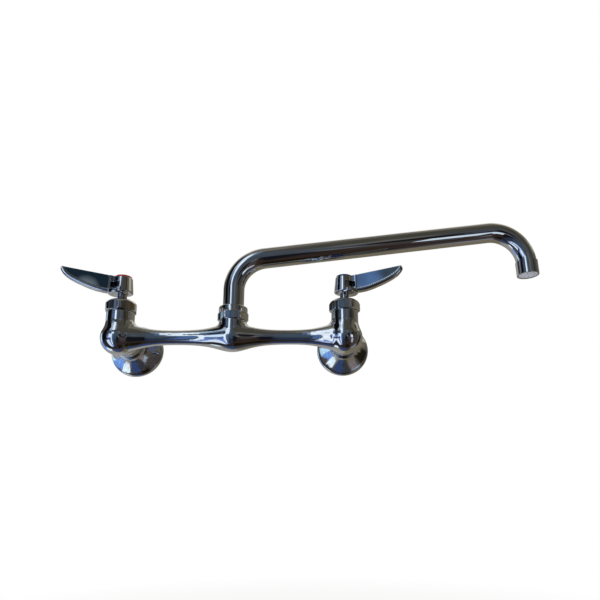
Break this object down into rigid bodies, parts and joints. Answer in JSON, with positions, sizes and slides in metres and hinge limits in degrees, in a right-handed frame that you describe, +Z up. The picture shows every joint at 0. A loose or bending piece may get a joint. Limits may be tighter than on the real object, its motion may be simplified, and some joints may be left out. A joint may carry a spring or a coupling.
{
  "type": "wall-mounted two-handle faucet",
  "caption": "Wall-mounted two-handle faucet with a swing spout, lever handles, ceramic disc cartridges and round wall flanges.",
  "frame": {"origin": "on the wall face, midway between the axes of the two supply pipes", "axes": "+X to the right along the body, towards the cold valve; +Y into the wall; +Z up"},
  "size_m": [0.4462, 0.0688, 0.1435],
  "materials": {
    "polished_chrome": "polished chrome plate over brass",
    "plated_stem": "bright plated brass",
    "turned_brass": "machined, bare",
    "stainless_steel": "plain stainless steel",
    "seal_rubber": "matte black",
    "disc_ceramic": "lapped",
    "light_plastic": "moulded acetal, light grey",
    "hot_index": "glossy red",
    "cold_index": "glossy blue"
  },
  "bodies": {
    "body": {"body_casting": "polished_chrome", "spout_nut": "polished_chrome", "spout_slip_washer": "light_plastic", "hot_wall_flange": "polished_chrome", "hot_flange_snap_ring": "stainless_steel", "hot_inlet_washer": "seal_rubber", "hot_seat_gasket": "seal_rubber", "hot_fixed_disc": "disc_ceramic", "hot_cartridge_body": "turned_brass", "hot_barrel_o_ring": "seal_rubber", "hot_bonnet_nut": "polished_chrome", "cold_wall_flange": "polished_chrome", "cold_flange_snap_ring": "stainless_steel", "cold_inlet_washer": "seal_rubber", "cold_seat_gasket": "seal_rubber", "cold_fixed_disc": "disc_ceramic", "cold_cartridge_body": "turned_brass", "cold_barrel_o_ring": "seal_rubber", "cold_bonnet_nut": "polished_chrome"},
    "hot_handle": {"hot_lever": "polished_chrome", "hot_stem": "plated_stem", "hot_stem_o_ring": "seal_rubber", "hot_stem_clip": "stainless_steel", "hot_moving_disc": "disc_ceramic", "hot_handle_screw": "stainless_steel", "hot_index_button": "hot_index"},
    "cold_handle": {"cold_lever": "polished_chrome", "cold_stem": "plated_stem", "cold_stem_o_ring": "seal_rubber", "cold_stem_clip": "stainless_steel", "cold_moving_disc": "disc_ceramic", "cold_handle_screw": "stainless_steel", "cold_index_button": "cold_index"},
    "spout": {"spout_tube": "polished_chrome", "spout_foot": "turned_brass", "spout_o_rings": "seal_rubber", "outlet_ferrule": "polished_chrome", "stream_former": "light_plastic"}
  },
  "joints": [
    {"name": "hot_handle_turn", "type": "hinge", "parent": "body", "child": "hot_handle", "pos_m": [-0.1016, -0.053, 0.045], "axis": [0, 0, 1], "range_deg": [0, 90]},
    {"name": "cold_handle_turn", "type": "hinge", "parent": "body", "child": "cold_handle", "pos_m": [0.1016, -0.053, 0.045], "axis": [0, 0, 1], "range_deg": [-90, 0]},
    {"name": "spout_swing", "type": "hinge", "parent": "body", "child": "spout", "pos_m": [0, -0.053, 0.022], "axis": [0, 0, 1], "range_deg": [-191, 5]}
  ]
}
